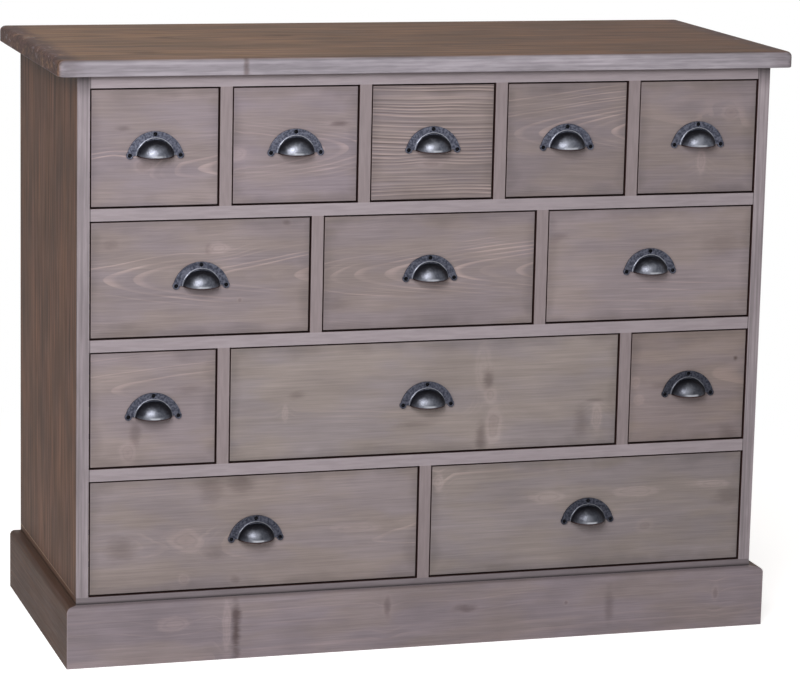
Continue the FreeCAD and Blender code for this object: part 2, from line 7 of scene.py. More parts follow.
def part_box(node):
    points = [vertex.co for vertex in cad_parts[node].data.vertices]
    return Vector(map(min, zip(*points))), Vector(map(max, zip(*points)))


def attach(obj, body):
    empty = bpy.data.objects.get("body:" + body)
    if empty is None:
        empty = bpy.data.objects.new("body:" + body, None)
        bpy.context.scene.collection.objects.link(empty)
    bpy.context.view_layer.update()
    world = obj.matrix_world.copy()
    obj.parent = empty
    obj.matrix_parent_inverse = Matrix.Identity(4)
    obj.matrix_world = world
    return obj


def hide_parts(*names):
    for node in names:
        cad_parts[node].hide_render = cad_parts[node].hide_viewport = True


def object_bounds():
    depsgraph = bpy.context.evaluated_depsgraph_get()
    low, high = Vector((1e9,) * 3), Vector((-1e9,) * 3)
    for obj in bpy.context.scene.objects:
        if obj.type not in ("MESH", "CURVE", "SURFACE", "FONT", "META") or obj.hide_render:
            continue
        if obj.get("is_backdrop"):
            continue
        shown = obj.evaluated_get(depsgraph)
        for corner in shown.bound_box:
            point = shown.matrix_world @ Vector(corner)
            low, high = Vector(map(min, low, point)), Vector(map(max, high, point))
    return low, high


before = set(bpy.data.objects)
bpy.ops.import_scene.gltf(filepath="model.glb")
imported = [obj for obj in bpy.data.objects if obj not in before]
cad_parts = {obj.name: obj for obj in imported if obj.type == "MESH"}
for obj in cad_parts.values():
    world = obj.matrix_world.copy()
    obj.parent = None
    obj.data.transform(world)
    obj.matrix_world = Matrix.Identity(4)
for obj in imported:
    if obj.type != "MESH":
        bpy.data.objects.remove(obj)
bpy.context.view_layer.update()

# The camera stands a little left of the chest at eye height, five metres away, and looks down
# on it slightly. Its picture is 800 by 679 points.
PICTURE = (800, 679)
FOCAL_POINTS = 3309.2
FILM_WIDTH = 36
SIGHT = 100
CAMERA_PLACE = Vector((-1.6169, -5.3726, 1.5920))
YAW, PITCH, ROLL = -0.29680, -0.19668, 0.02221

camera_data = bpy.data.cameras.new("camera")
camera = bpy.data.objects.new("camera", camera_data)
bpy.context.scene.collection.objects.link(camera)
bpy.context.scene.camera = camera
camera_data.sensor_width = FILM_WIDTH
camera_data.lens = FOCAL_POINTS * FILM_WIDTH / PICTURE[0]
camera_data.clip_end = SIGHT
level = Matrix.Rotation(YAW, 3, "Z") @ Matrix.Rotation(PITCH, 3, "X")
upright = Matrix(((1, 0, 0), (0, 0, -1), (0, 1, 0)))
camera.matrix_world = Matrix.Translation(CAMERA_PLACE) @ (
    level @ upright @ Matrix.Rotation(ROLL, 3, "Z")).to_4x4()

# A plain studio: an even grey world that the camera and the iron see as white, a wide soft
# lamp in front on the left, a weaker one behind, and a pale floor that fades into the white.
WHITE = (1, 1, 1, 1)
ROOM_COLOUR, ROOM_STRENGTH = (1.0, 0.93, 0.86, 1), 0.22
LAMP_COLOUR = (0.97, 0.97, 1.0)
LAMPS = (("window_lamp", 1.6, 80, (-1.35, -2.8, 2.0), (0.0, -0.25, 0.45)),
         ("rear_lamp", 1.0, 38, (0.9, 3.0, 0.5), (0.0, 0.27, 0.5)))
FLOOR_RADIUS, FLOOR_COLOUR, FLOOR_GLOW = 9, (0.9, 0.9, 0.9, 1), 0.72
FLOOR_FADES_FROM, FLOOR_FADES_TO = 0.8, 1.7

scene = bpy.context.scene
scene.view_settings.view_transform = "Standard"


def plug(tree, socket, value):
    """Links a socket to another node's output, or gives it a plain value."""
    if isinstance(value, bpy.types.NodeSocket):
        tree.links.new(value, socket)
    else:
        socket.default_value = value


def shader_node(tree, kind, settings=None, **inputs):
    """One node. Its inputs are named as on the node, with _ for a space."""
    made = tree.nodes.new("ShaderNode" + kind)
    for name, choice in (settings or {}).items():
        setattr(made, name, choice)
    for name, value in inputs.items():
        wanted = name.replace("_", " ")
        plug(tree, next(s for s in made.inputs if s.enabled and s.name == wanted), value)
    return made


def maths(tree, operation, *terms):
    made = shader_node(tree, "Math", {"operation": operation})
    for socket, term in zip(made.inputs, terms):
        plug(tree, socket, term)
    return made.outputs[0]


def vector_maths(tree, operation, *terms):
    """A sum on vectors. Of its outputs, a length or a distance is the Value."""
    made = shader_node(tree, "VectorMath", {"operation": operation})
    for socket, term in zip(made.inputs, terms):
        plug(tree, socket, term)
    return made.outputs


def product(tree, *terms):
    total = terms[0]
    for term in terms[1:]:
        total = maths(tree, "MULTIPLY", total, term)
    return total


def fade(tree, value, start, end, low=0.0, high=1.0):
    """A soft step from low to high while the value goes from start to end."""
    step = shader_node(tree, "MapRange", {"interpolation_type": "SMOOTHSTEP"}, Value=value,
                       From_Min=start, From_Max=end, To_Min=low, To_Max=high)
    return step.outputs[0]


def seen_directly(tree):
    """One where a ray comes from the camera, a reflection or a pane, and nought elsewhere."""
    path = tree.nodes.new("ShaderNodeLightPath")
    sharp = maths(tree, "MAXIMUM", path.outputs["Is Glossy Ray"],
                  path.outputs["Is Transmission Ray"])
    return maths(tree, "MAXIMUM", path.outputs["Is Camera Ray"], sharp)


def mix_shaders(tree, share, first, second):
    made = tree.nodes.new("ShaderNodeMixShader")
    for socket, value in zip(made.inputs, (share, first, second)):
        plug(tree, socket, value)
    return made.outputs[0]


world = bpy.data.worlds.new("studio")
scene.world = world
world.use_nodes = True
sky = world.node_tree
sky.nodes.clear()
room = shader_node(sky, "Background", Color=ROOM_COLOUR, Strength=ROOM_STRENGTH)
plain_white = shader_node(sky, "Background", Color=WHITE, Strength=1.0)
shader_node(sky, "OutputWorld", Surface=mix_shaders(
    sky, seen_directly(sky), room.outputs[0], plain_white.outputs[0]))

for name, size, energy, place, target in LAMPS:
    lamp_data = bpy.data.lights.new(name, "AREA")
    lamp_data.shape = "SQUARE"
    lamp_data.size = size
    lamp_data.energy = energy
    lamp_data.color = LAMP_COLOUR
    lamp = bpy.data.objects.new(name, lamp_data)
    scene.collection.objects.link(lamp)
    lamp.location = place
    lamp.rotation_euler = (Vector(target) - lamp.location).to_track_quat("-Z", "Y").to_euler()

bpy.ops.object.select_all(action="DESELECT")
bpy.ops.mesh.primitive_circle_add(vertices=128, radius=FLOOR_RADIUS, fill_type="TRIFAN")
floor = bpy.context.object
floor.name = "floor"
floor_material = bpy.data.materials.new("pale floor")
floor_material.use_nodes = True
tree = floor_material.node_tree
tree.nodes.clear()
matt = shader_node(tree, "BsdfDiffuse", Color=FLOOR_COLOUR)
glow = shader_node(tree, "Emission", Color=WHITE,
                   Strength=product(tree, seen_directly(tree), FLOOR_GLOW))
near_floor = tree.nodes.new("ShaderNodeAddShader")
tree.links.new(matt.outputs[0], near_floor.inputs[0])
tree.links.new(glow.outputs[0], near_floor.inputs[1])
far_floor = shader_node(tree, "Emission", Color=WHITE, Strength=1.0)
spot = tree.nodes.new("ShaderNodeTexCoord").outputs["Object"]
from_middle = vector_maths(tree, "LENGTH", spot)["Value"]
far = product(tree, fade(tree, from_middle, FLOOR_FADES_FROM, FLOOR_FADES_TO),
              seen_directly(tree))
shader_node(tree, "OutputMaterial", Surface=mix_shaders(
    tree, far, near_floor.outputs[0], far_floor.outputs[0]))
floor.data.materials.append(floor_material)
floor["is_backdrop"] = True

# Stained pine, the timber of every outer board. Early wood drinks the grey stain and late wood
# turns it away, so the yearly rings stand out as pale lines, and knots leave pinkish swirls.
# The grains of its noises are counted per metre: along the grain, across it, and into the board.
SLOW_BENDS = (3, 9, 9)
PATCHES = (7, 34, 34)
FIBRES = (14, 560, 560)
STREAKS = (5, 230, 230)
CLOUDS = (6, 13, 13)
HUES = (7, 22, 22)
KNOT_BENDS = (28, 55, 40)
KNOT_SMEARS = (60, 420, 200)
EDGE_NIBBLES = (70, 70, 70)
MARGIN_DRIFTS = (17, 17, 17)
SEED_STEP, HUE_STEP = (3.71, 1.93, 2.57), (4.3, 7.7, 1.9)


def new_group(name, inputs, outputs):
    """An empty node group with the named sockets, its inner inputs and its inner outputs."""
    group = bpy.data.node_groups.new(name, "ShaderNodeTree")
    for label, kind in inputs:
        group.interface.new_socket(label, in_out="INPUT", socket_type="NodeSocket" + kind)
    for label in outputs:
        group.interface.new_socket(label, in_out="OUTPUT", socket_type="NodeSocketFloat")
    given = group.nodes.new("NodeGroupInput").outputs
    return group, given, group.nodes.new("NodeGroupOutput").inputs


def stretched_noise(tree, vector, grains, detail=2.0, roughness=0.5):
    """Noise with so many grains to the metre along each axis."""
    spread = vector_maths(tree, "MULTIPLY", vector, grains)["Vector"]
    return shader_node(tree, "TexNoise", Vector=spread, Scale=1.0, Detail=detail,
                       Roughness=roughness).outputs[0]


def make_pine_figure():
    """Rings round a heart that lies along X, below the face: cut flat they make the arches."""
    tree, given, result = new_group("pine figure", (
        ("Vector", "Vector"), ("Seed", "Float"), ("Heart Offset", "Float"),
        ("Heart Depth", "Float"), ("Taper", "Float"), ("Ring Width", "Float"),
        ("Wander", "Float"), ("Swell", "Float"), ("Zone", "Float"), ("Reach", "Float"),
        ("Plenty", "Float")), ("Rings", "Dark", "Fibre", "Streak", "Cloud", "Hue"))
    shift = shader_node(tree, "VectorMath", {"operation": "SCALE"}, Vector=SEED_STEP,
                        Scale=given["Seed"]).outputs[0]
    place = vector_maths(tree, "ADD", given["Vector"], shift)["Vector"]
    along, across, deep = shader_node(tree, "SeparateXYZ", Vector=given["Vector"]).outputs
    side = maths(tree, "SUBTRACT", across, given["Heart Offset"])
    down = maths(tree, "SUBTRACT", deep, given["Heart Depth"])
    radius = maths(tree, "SQRT", maths(tree, "ADD", product(tree, side, side),
                                       product(tree, down, down)))
    slow = maths(tree, "SUBTRACT", stretched_noise(tree, place, SLOW_BENDS, 2.0, 0.6), 0.5)
    radius = maths(tree, "ADD", radius, product(tree, slow, given["Wander"]))
    radius = maths(tree, "SUBTRACT", radius, product(tree, along, given["Taper"]))
    radius = maths(tree, "ADD", radius, given["Swell"])
    age = maths(tree, "DIVIDE", radius, given["Ring Width"])
    uneven = shader_node(tree, "TexNoise", {"noise_dimensions": "1D"}, Scale=0.31, Detail=1.0,
                         W=maths(tree, "ADD", age, given["Seed"])).outputs[0]
    age = maths(tree, "MULTIPLY_ADD", uneven, 1.6, age)
    season = maths(tree, "FRACT", age)
    year = maths(tree, "ADD", maths(tree, "FLOOR", age), given["Seed"])
    chance = shader_node(tree, "TexWhiteNoise", {"noise_dimensions": "1D"}, W=year).outputs[0]
    chance = fade(tree, maths(tree, "ADD", chance, given["Plenty"]), 0.35, 0.95, 0.10, 1.0)
    patchy = fade(tree, stretched_noise(tree, place, PATCHES, 1.0), 0.36, 0.62, 0.25, 1.0)
    from_zone = maths(tree, "ABSOLUTE", maths(tree, "SUBTRACT", across, given["Zone"]))
    from_zone = maths(tree, "DIVIDE", maths(tree, "MULTIPLY_ADD", slow, 0.05, from_zone),
                      given["Reach"])
    strength = product(tree, chance, maths(tree, "MAXIMUM", patchy, given["Plenty"]),
                       fade(tree, from_zone, 1.2, 0.6, 0.16, 1.0))
    late_wood = product(tree, fade(tree, season, 0.5, 0.84), fade(tree, season, 1.0, 0.93))
    year_end = product(tree, fade(tree, season, 0.0, 0.08), fade(tree, season, 0.5, 0.1))
    elsewhere = vector_maths(tree, "ADD", place, HUE_STEP)["Vector"]
    for label, value in (
            ("Rings", product(tree, late_wood, strength)),
            ("Dark", product(tree, year_end, strength)),
            ("Fibre", stretched_noise(tree, place, FIBRES, 3.0, 0.6)),
            ("Streak", stretched_noise(tree, place, STREAKS)),
            ("Cloud", stretched_noise(tree, place, CLOUDS, 3.0, 0.55)),
            ("Hue", stretched_noise(tree, elsewhere, HUES))):
        tree.links.new(value, result[label])
    return tree


def make_pine_knot():
    """A knot: a soft dark smudge, a pale swirl round it, and the swell that bends the rings."""
    tree, given, result = new_group("pine knot", (
        ("Vector", "Vector"), ("Centre", "Vector"), ("Radius", "Float"), ("Stretch", "Vector")),
        ("Core", "Halo", "Swell"))
    off = vector_maths(tree, "SUBTRACT", given["Vector"], given["Centre"])["Vector"]
    flat = vector_maths(tree, "MULTIPLY", off, given["Stretch"])["Vector"]
    distance = vector_maths(tree, "LENGTH", flat)["Value"]
    share = maths(tree, "DIVIDE", distance, given["Radius"])
    bend = maths(tree, "SUBTRACT", stretched_noise(tree, given["Vector"], KNOT_BENDS), 0.5)
    share = maths(tree, "MULTIPLY_ADD", bend, 1.1, share)
    fine = stretched_noise(tree, given["Vector"], KNOT_SMEARS, 3.0)
    smeared = maths(tree, "MULTIPLY_ADD", maths(tree, "SUBTRACT", fine, 0.5), 0.9, share)
    lines = fade(tree, maths(tree, "PINGPONG", share, 0.33), 0.03, 0.18, 0.6, 1.0)
    tree.links.new(fade(tree, smeared, 1.35, 0.1), result["Core"])
    tree.links.new(product(tree, fade(tree, smeared, 1.7, 0.7), lines), result["Halo"])
    tree.links.new(product(tree, fade(tree, share, 4.5, 0.0), given["Radius"]),
                   result["Swell"])
    return tree


def make_board_faces():
    """Where a spot is on a board: an edge, lightened by wear and a painted highlight, the front's
    margin, its rim face or its back.
    """
    tree, given, result = new_group("board faces", (
        ("Vector", "Vector"), ("Low", "Vector"), ("High", "Vector"), ("Reach", "Float")),
        ("Edge", "Margin", "Rim", "Back"))
    below = vector_maths(tree, "SUBTRACT", given["Vector"], given["Low"])["Vector"]
    above = vector_maths(tree, "SUBTRACT", given["High"], given["Vector"])["Vector"]
    x, y, z = shader_node(tree, "SeparateXYZ", Vector=vector_maths(
        tree, "MINIMUM", below, above)["Vector"]).outputs
    second = maths(tree, "MAXIMUM", maths(tree, "MINIMUM", x, y),
                   maths(tree, "MINIMUM", maths(tree, "MAXIMUM", x, y), z))
    ragged = product(tree, stretched_noise(tree, given["Vector"], EDGE_NIBBLES), given["Reach"])
    share = maths(tree, "DIVIDE", maths(tree, "ADD", second, ragged), given["Reach"])
    rim = maths(tree, "MINIMUM", x, z)
    uneven = stretched_noise(tree, given["Vector"], MARGIN_DRIFTS)
    margin = maths(tree, "MULTIPLY_ADD", maths(tree, "SUBTRACT", uneven, 0.5), 0.045, rim)
    behind = shader_node(tree, "SeparateXYZ", Vector=above).outputs[1]
    tree.links.new(fade(tree, share, 1.3, 0.4), result["Edge"])
    tree.links.new(fade(tree, margin, 0.022, -0.004), result["Margin"])
    tree.links.new(fade(tree, rim, 0.0010, 0.0005), result["Rim"])
    tree.links.new(fade(tree, behind, 0.0007, 0.0003), result["Back"])
    return tree


pine_figure = make_pine_figure()
pine_knot = make_pine_knot()
board_faces = make_board_faces()

# The way the grain runs: the columns are the directions along it, across the face and out of it.
GRAIN = {
    "front, level": Matrix(((1, 0, 0), (0, 0, -1), (0, 1, 0))),
    "front, upright": Matrix(((0, 1, 0), (0, 0, 1), (1, 0, 0))),
    "side, upright": Matrix(((0, 0, -1), (0, 1, 0), (1, 0, 0))),
    "side, level": Matrix(((0, 0, 1), (1, 0, 0), (0, 1, 0))),
    "top, level": Matrix(((1, 0, 0), (0, 1, 0), (0, 0, 1))),
}

BARE_PINE, BARE_LATE = (0.560, 0.415, 0.250), (0.430, 0.270, 0.130)
# Partly stain and partly painted shade: the dark brown of rims and inner faces just behind the
# front, which fades to bare wood over the given depths.
GAP_TONE = (0.045, 0.022, 0.020)
STAIN_RUNS_OUT = (0.018, 0.045)
JOINT_LINE = (0.0013, 0.0022)
# Painted shade where a board meets the one below: how high it reaches and how dark it gets.
CONTACT_HEIGHT, CONTACT_DARK = 0.006, 0.25
FACE_SKIN = (0.0010, 0.0004)
EDGE_REACH = 0.003
EDGE_ROUNDING = (0.006, 0.012)
BRUSH_STROKES = (24, 210, 210)
END_DIRT, END_RUBS = (45, 28, 60), (60, 40, 90)
GRAIN_RELIEF = 0.0002


def mix_colour(tree, factor, first, second, blend="MIX"):
    """Two colours mixed. On this node the factor is input 0 and the colours are 6 and 7."""
    made = shader_node(tree, "Mix", {"data_type": "RGBA", "blend_type": blend})
    for number, value in ((0, factor), (6, first), (7, second)):
        plug(tree, made.inputs[number], (*value, 1) if isinstance(value, tuple) else value)
    return made.outputs[2]


def times(tone, *gains):
    """A tone made lighter or darker, by one gain or by one for each of its colours."""
    return tuple(min(1.0, value * gain) for value, gain in zip(tone, gains * 3))


def grey(tree, value):
    return shader_node(tree, "CombineColor", Red=value, Green=value, Blue=value).outputs[0]


def use_group(tree, group, **inputs):
    made = tree.nodes.new("ShaderNodeGroup")
    made.node_tree = group
    for name, value in inputs.items():
        plug(tree, made.inputs[name.replace("_", " ")], value)
    return made.outputs


def new_skin(name):
    """A new material: its node tree, its Principled node and the place on the object."""
    material = bpy.data.materials.new(name)
    material.use_nodes = True
    tree = material.node_tree
    spot = tree.nodes.new("ShaderNodeTexCoord").outputs["Object"]
    return material, tree, tree.nodes["Principled BSDF"], spot


def along_grain(tree, spot, low, high, grain):
    """A place on the board between two corners, measured from its middle and along its grain."""
    return shader_node(tree, "Mapping", {"vector_type": "TEXTURE"}, Vector=spot,
                       Location=(low + high) / 2, Rotation=GRAIN[grain].to_euler()).outputs[0]


def add_relief(tree, skin, height, strength):
    bump = shader_node(tree, "Bump", Strength=strength, Distance=GRAIN_RELIEF, Height=height)
    tree.links.new(bump.outputs[0], skin.inputs["Normal"])


def bend_round_knots(tree, place, knots, **settings):
    """A board's figure, and each of its knots with how dark and how pale it is.

    A knot's row holds its place along and across the grain, its radius, how long and how high it
    is drawn out, and the strengths of its dark core and its pale swirl.
    """
    swell = 0.0
    marks = []
    for along, across, radius, length, height, smudge, pale in knots:
        knot = use_group(tree, pine_knot, Vector=place, Radius=radius,
                         Centre=(along, across, 0.0), Stretch=(1 / length, 1 / height, 0.15))
        marks.append((knot, smudge, pale))
        swell = maths(tree, "MULTIPLY_ADD", knot["Swell"], pale, swell)
    return use_group(tree, pine_figure, Vector=place, Swell=swell, **settings), marks


def stain_face(tree, figure, tone, late, dark, rings):
    """The stain on early wood, which drifts a little, and on late wood."""
    colour = mix_colour(tree, fade(tree, figure["Hue"], 0.36, 0.64),
                        times(tone, 0.98, 0.98, 1.02), times(tone, 1.03, 1.01, 0.965))
    colour = mix_colour(tree, product(tree, figure["Dark"], dark), colour,
                        times(tone, 0.60, 0.56, 0.54))
    return mix_colour(tree, product(tree, figure["Rings"], rings), colour,
                      late or times(tone, 1.66, 1.55, 1.46))


def brush_front(tree, place, front, tilt, contrast):
    """The stain on a planed front edge, laid on in fine strokes."""
    strokes = shader_node(tree, "Mapping", Vector=place, Rotation=(0.0, tilt, 0.0),
                          Scale=BRUSH_STROKES).outputs[0]
    strokes = shader_node(tree, "TexNoise", Vector=strokes, Scale=1.0, Detail=3.0).outputs[0]
    return mix_colour(tree, fade(tree, strokes, 0.36, 0.64), times(front, 1 - contrast),
                      times(front, 1 + contrast))


def stain_knots(tree, colour, marks, tone):
    for knot, smudge, pale in marks:
        if pale:
            colour = mix_colour(tree, product(tree, knot["Halo"], 0.8 * pale), colour,
                                times(tone, 1.46, 1.40, 1.36))
        if smudge:
            colour = mix_colour(tree, product(tree, knot["Core"], smudge), colour,
                                times(tone, 0.42, 0.37, 0.36))
    return colour


def wear_ends(tree, colour, spot, to_end, from_front, ends, front):
    """End grain drinks more stain, down to a length from the end, and is rubbed pale in spots."""
    dirt, length = ends
    at_end = product(tree, fade(tree, to_end, length, length * 0.3),
                     fade(tree, from_front, *EDGE_ROUNDING, 0.25, 1.0))
    dirty = fade(tree, stretched_noise(tree, spot, END_DIRT, 3.0), 0.28, 0.52)
    colour = mix_colour(tree, product(tree, at_end, dirty, 0.9), colour, dirt)
    rubbed = fade(tree, stretched_noise(tree, spot, END_RUBS, 3.0, 0.7), 0.58, 0.70)
    return mix_colour(tree, product(tree, at_end, rubbed, 0.35), colour, front)


def pine(name, low, high, grain, seed, tone, late=None, rings=0.5, dark=0.0, heart=(0.0, -0.06),
         taper=0.03, width=0.005, wander=0.012, zone=(0.0, 1.0), plenty=0.0, knots=(),
         streaks=0.055, clouds=0.085, worn=0.3, margin=0.0, front=None, front_reach=0.006,
         brush=(0.05, 0.05), front_fall=None, ends=None, eaves=None, joints=0.0, contact=None,
         fall=None, inside=None):
    """Stained pine for the board between two corners.

    The tone is that of its early wood, front the tone of its planed front edge. Light falloff is
    painted shade that darkens the board towards the right, and front light falloff is painted
    shade on its front edge. Eaves shadow is painted shadow under its top end, and contact shade
    is painted shade where it meets the board below. Joints darken it along its ends and margin
    round a drawer front. Wear and sheen lightens its edges, partly as worn stain and partly as a
    painted highlight along the arris. Inside is where the stain stops: behind the front edge all
    over, on one face of the board, or on the rim of a drawer front, whose back is bare. There a
    dark brown comes first, partly stain run in and partly painted shade of the gap, and then bare
    wood.
    """
    material, tree, skin, spot = new_skin(name)
    skin.inputs["Specular IOR Level"].default_value = 0.12
    place = along_grain(tree, spot, low, high, grain)
    figure, marks = bend_round_knots(tree, place, knots, Seed=seed, Heart_Offset=heart[0],
                                     Heart_Depth=heart[1], Taper=taper, Ring_Width=width,
                                     Wander=wander, Zone=zone[0], Reach=zone[1], Plenty=plenty)
    x, y, z = shader_node(tree, "SeparateXYZ", Vector=spot).outputs
    from_front = maths(tree, "SUBTRACT", y, low.y)
    to_end = maths(tree, "MINIMUM", maths(tree, "SUBTRACT", x, low.x),
                   maths(tree, "SUBTRACT", high.x, x))
    faces = use_group(tree, board_faces, Vector=spot, Low=low, High=high, Reach=EDGE_REACH)

    colour = stain_face(tree, figure, tone, late, dark, rings)
    # Painted shade: the colour is multiplied down towards the right end, as the light falls off.
    if fall:
        colour = mix_colour(tree, fade(tree, x, low.x, high.x), colour, fall, "MULTIPLY")
    shade = product(tree, fade(tree, figure["Streak"], 0.25, 0.75, 1 - streaks, 1 + streaks),
                    fade(tree, figure["Cloud"], 0.28, 0.72, 1 - clouds, 1 + clouds),
                    fade(tree, figure["Fibre"], 0.3, 0.7, 0.92, 1.065))
    if front:
        on_front = fade(tree, from_front, front_reach, 0.001)
        colour = mix_colour(tree, on_front, colour, brush_front(tree, place, front, *brush))
        calm = maths(tree, "MULTIPLY_ADD", on_front, -0.65, 1.0)
        shade = maths(tree, "MULTIPLY_ADD", calm, maths(tree, "SUBTRACT", shade, 1.0), 1.0)
        # Painted shade on the front edge, from one given share at its left end to another at its
        # right.
        if front_fall:
            lift = maths(tree, "SUBTRACT", fade(tree, x, low.x, high.x, *front_fall), 1.0)
            shade = product(tree, shade, maths(tree, "MULTIPLY_ADD", on_front, lift, 1.0))
    colour = stain_knots(tree, colour, marks, tone)
    # Painted shade where the board meets the board below.
    if contact:
        shade = product(tree, shade, fade(tree, z, contact, contact + CONTACT_HEIGHT,
                                          CONTACT_DARK, 1.0))
    # Painted shadow under the top end of the board, as under the overhang of the top.
    if eaves:
        shade = product(tree, shade, fade(tree, z, high.z - eaves[0], high.z, 1.0, eaves[1]))
    if joints:
        shade = product(tree, shade, fade(tree, to_end, *JOINT_LINE, joints, 1.0))
    if ends:
        colour = wear_ends(tree, colour, spot, to_end, from_front, ends, front)
    if margin:
        shade = product(tree, shade, maths(tree, "MULTIPLY_ADD", faces["Margin"], -margin, 1.0))
    shade = grey(tree, shade)
    colour = mix_colour(tree, 1.0, colour, shade, "MULTIPLY")
    # The edges are made lighter: partly worn stain, partly a painted highlight along the arris.
    colour = mix_colour(tree, product(tree, faces["Edge"], worn), colour,
                        times(front or tone, 1.35))

    if inside:
        inner = faces["Rim"] if inside == "rim" else 1.0
        if inside in ("left", "right", "up"):
            value, face, way = {"left": (x, low.x, 1), "right": (x, high.x, -1),
                                "up": (z, high.z, -1)}[inside]
            inner = fade(tree, value, *(face + way * depth for depth in FACE_SKIN))
        inner = product(tree, inner, fade(tree, from_front, 0.0001, 0.0006))
        bare = mix_colour(tree, product(tree, figure["Rings"], 0.5), BARE_PINE, BARE_LATE)
        bare = mix_colour(tree, 1.0, bare, shade, "MULTIPLY")
        # A dark brown just behind the front, partly stain run in and partly painted shade of the
        # gap, fading to bare wood further in.
        stained = mix_colour(tree, fade(tree, from_front, *STAIN_RUNS_OUT), GAP_TONE, bare)
        colour = mix_colour(tree, inner, colour, stained)
        if inside == "rim":
            colour = mix_colour(tree, faces["Back"], colour, bare)
    tree.links.new(colour, skin.inputs["Base Color"])
    tree.links.new(fade(tree, figure["Fibre"], 0.3, 0.7, 0.55, 0.68), skin.inputs["Roughness"])
    add_relief(tree, skin, maths(tree, "MULTIPLY_ADD", figure["Rings"], 0.8, figure["Fibre"]),
               0.25)
    return material


def dress(node, material):
    """Gives a carried-over piece its material."""
    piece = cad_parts[node]
    piece.data.materials.clear()
    piece.data.materials.append(material)


def dress_in_pine(node, grain, seed, tone, **look):
    dress(node, pine(node + " pine", *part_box(node), grain, seed, tone, **look))


MAUVE = (0.280, 0.236, 0.236)
GREY_MAUVE = (0.348, 0.302, 0.320)
# Dark brown, partly the boards' own tone and partly painted shade of faces that get less light
# than the fronts.
DARK_BROWN = (0.132, 0.070, 0.047)
BARE_WOOD = dict(tone=(0.50, 0.36, 0.21), late=(0.36, 0.22, 0.105), rings=0.6, worn=0.0)

# The plinth: a front board and two side boards, mitred at the corners, rounded along the upper
# edge and glued to cleats under the bottom board. The back board is a plain one set in between.
dress_in_pine("plinth_front", "front, level", 3.1, (0.258, 0.218, 0.227), rings=0.22,
              worn=0.8, heart=(-0.05, -0.05), taper=0.01, clouds=0.12,
              knots=((-0.327, -0.003, 0.018, 0.5, 2.9, 1.0, 0.0),
                     (-0.343, 0.0, 0.012, 0.5, 3.2, 0.0, 0.7),
                     (-0.434, 0.015, 0.014, 1.6, 0.8, 0.0, 0.7),
                     (-0.067, 0.020, 0.013, 0.6, 1.6, 0.6, 0.4),
                     (0.070, 0.010, 0.013, 1.7, 0.7, 0.6, 0.3),
                     (0.250, 0.010, 0.004, 1.0, 1.0, 0.6, 0.5),
                     (0.328, 0.0, 0.019, 0.5, 1.8, 0.42, 0.0),
                     (0.523, 0.012, 0.009, 0.6, 1.5, 0.4, 0.5)))
# The plinth's side boards are much darker than its front: partly their own tone, partly painted
# shade of faces turned away from the lamp.
for node, seed in (("plinth_left", 5.3), ("plinth_right", 8.9)):
    dress_in_pine(node, "side, level", seed, (0.080, 0.045, 0.032), rings=0.3, taper=0.02,
                  streaks=0.14, clouds=0.16)
dress_in_pine("plinth_back", "front, level", 2.2, **BARE_WOOD)
dress_in_pine("plinth_blocks", "front, level", 7.7, **BARE_WOOD)

# The bottom board: solid pine, as wide as the carcass, so its front edge shows as a strip on the
# plinth, given painted shade: darker than the other front edges, and darker still where it meets
# the plinth. The sides stand on it and are held by dowels. Its upper face is bare.
dress_in_pine("bottom_panel", "front, level", 9.4, DARK_BROWN, rings=0.35,
              front=times(GREY_MAUVE, 0.66), worn=0.0, contact=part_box("plinth_front")[1].z,
              inside="up")

# The two sides: upright pine boards that stand on the ends of the bottom board, browner and
# darker than the fronts, partly in their own tone and partly by painted shade, with painted
# shadow under the overhang of the top. Their front edges are planed and stained grey, and their
# inner faces are bare.
for node, seed, inner_face, front_gain in (("side_left", 1.7, "right", 0.85),
                                           ("side_right", 6.1, "left", 0.94)):
    dress_in_pine(node, "side, upright", seed, DARK_BROWN, rings=0.65, dark=1.0,
                  heart=(0.03, -0.05), taper=0.02, width=0.009, wander=0.035, plenty=0.05,
                  front=times(GREY_MAUVE, front_gain), eaves=(0.045, 0.40), worn=0.2,
                  streaks=0.6, clouds=0.30, inside=inner_face,
                  knots=((-0.12, 0.1, 0.010, 1.8, 0.8, 0.5, 0.2),
                         (0.25, -0.05, 0.010, 1.8, 0.8, 0.5, 0.2)))

# Shelves and rails run level between the sides and dividers stand between them, all dowelled.
# Only their front edges show, stained the same grey; further in the boards are bare.
LEVEL_BOARDS = ("shelf_upper", "shelf_middle", "shelf_lower", "top_rail_front", "top_rail_back")
# The front rail under the top gets painted shadow along its upper edge, under the overhang.
for number, node in enumerate(LEVEL_BOARDS):
    dress_in_pine(node, "front, level", 11.3 + 1.9 * number, MAUVE, rings=0.35,
                  eaves=(0.010, 0.65) if node == "top_rail_front" else None,
                  front=GREY_MAUVE, worn=0.15, clouds=0.09, joints=0.35, inside="all")
UPRIGHT_BOARDS = ("dividers_top_row", "dividers_middle_rows", "divider_bottom_row")
for number, node in enumerate(UPRIGHT_BOARDS):
    dress_in_pine(node, "side, upright", 21.7 + 2.3 * number, MAUVE, rings=0.3,
                  front=(0.284, 0.237, 0.242), worn=0.0, clouds=0.09, inside="all")

# The back panel: thin unstained plywood in a rebate of the sides. Its upright grain is peeled
# from the log, so the figure is wide and wild. It is screwed to the shelves.
dress_in_pine("back_panel", "front, upright", 4.4, (0.56, 0.40, 0.26),
              late=(0.48, 0.32, 0.19), rings=0.5, heart=(0.1, -0.4), wander=0.09, width=0.012,
              clouds=0.1)

